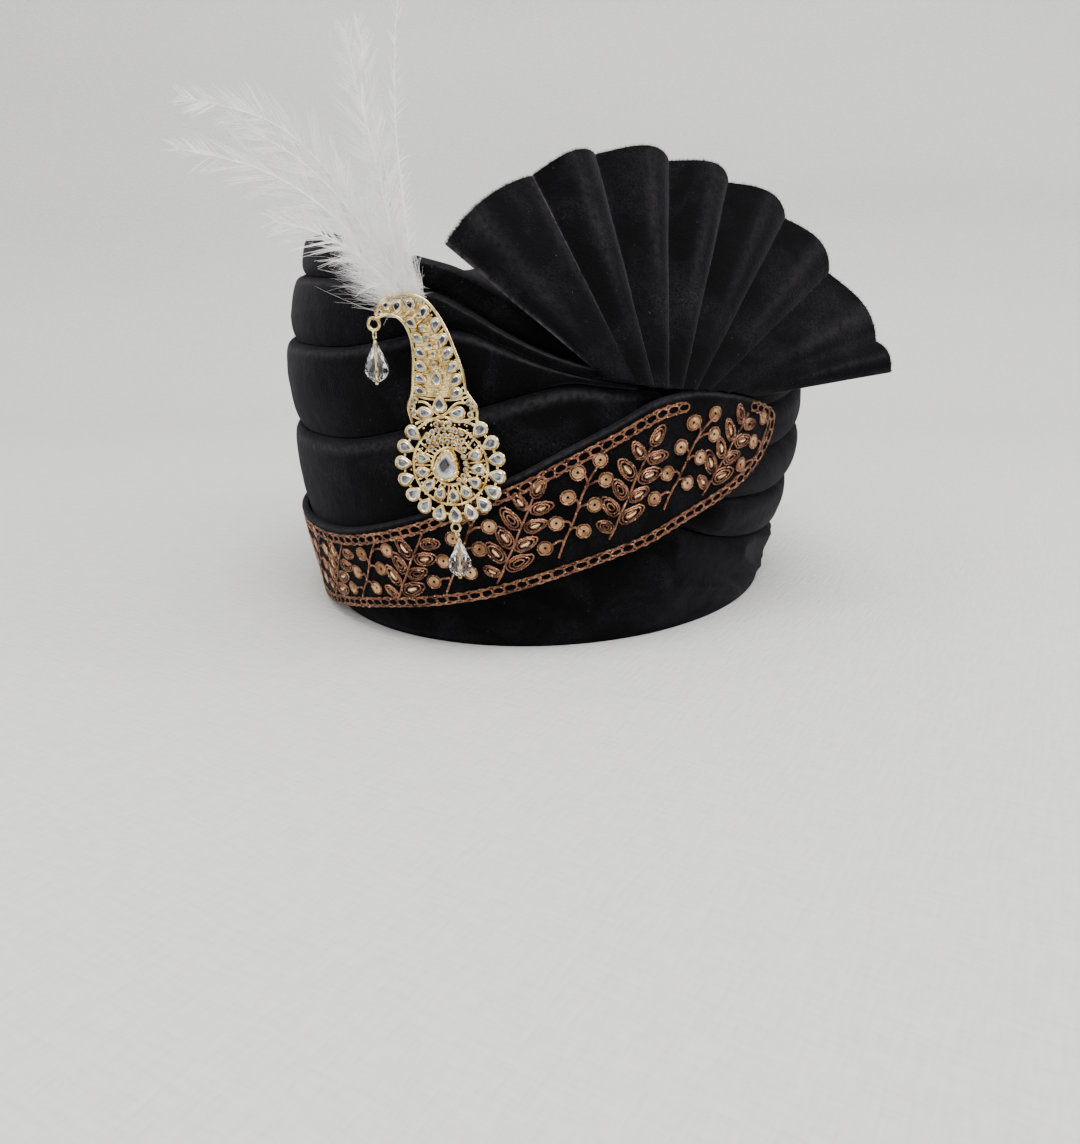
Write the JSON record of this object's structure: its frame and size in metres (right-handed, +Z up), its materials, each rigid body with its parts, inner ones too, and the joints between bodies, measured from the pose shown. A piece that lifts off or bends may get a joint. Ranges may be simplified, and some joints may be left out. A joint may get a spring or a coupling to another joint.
{
  "type": "tied velvet turban with a pleated fan, an embroidered band and a plumed brooch",
  "caption": "Ready-tied black velvet turban: wound folds round a cap, pleated side fan, embroidered border band, jewelled paisley brooch with crystal drops and a white feather plume.",
  "frame": {"origin": "centre of the head opening, on the plane that the rim rests on", "axes": "+Z up through the crown, -Y the wearer's front, +X the wearer's left, where the fan stands"},
  "size_m": [0.2429, 0.2661, 0.2242],
  "materials": {
    "velvet": "black silk velvet, deep pile with a cool grey sheen on the fold crests",
    "cap_velvet": "black velvet crown over a stiff cap, plain cloth inside",
    "fan_velvet": "black velvet pressed into pleats, with a short fringe of pile at the cut edge",
    "zari_band": "black velvet worked in copper-gold cord and sequins",
    "pale_gold": "polished pale gold plating",
    "crystal": "clear cut crystal",
    "feather": "fine white feather barbs"
  },
  "bodies": {
    "root": {"cap": "cap_velvet", "rim_wrap": "velvet", "wrap_1": "velvet", "wrap_2": "velvet", "wrap_3": "velvet", "wrap_4": "velvet", "border_band": "zari_band", "fan": "fan_velvet", "brooch_setting": "pale_gold", "centre_stone": "crystal", "upper_drop_pin": "pale_gold", "upper_drop_bead": "crystal", "lower_drop_pin": "pale_gold", "lower_drop_bead": "crystal", "plume": "feather"}
  },
  "joints": []
}
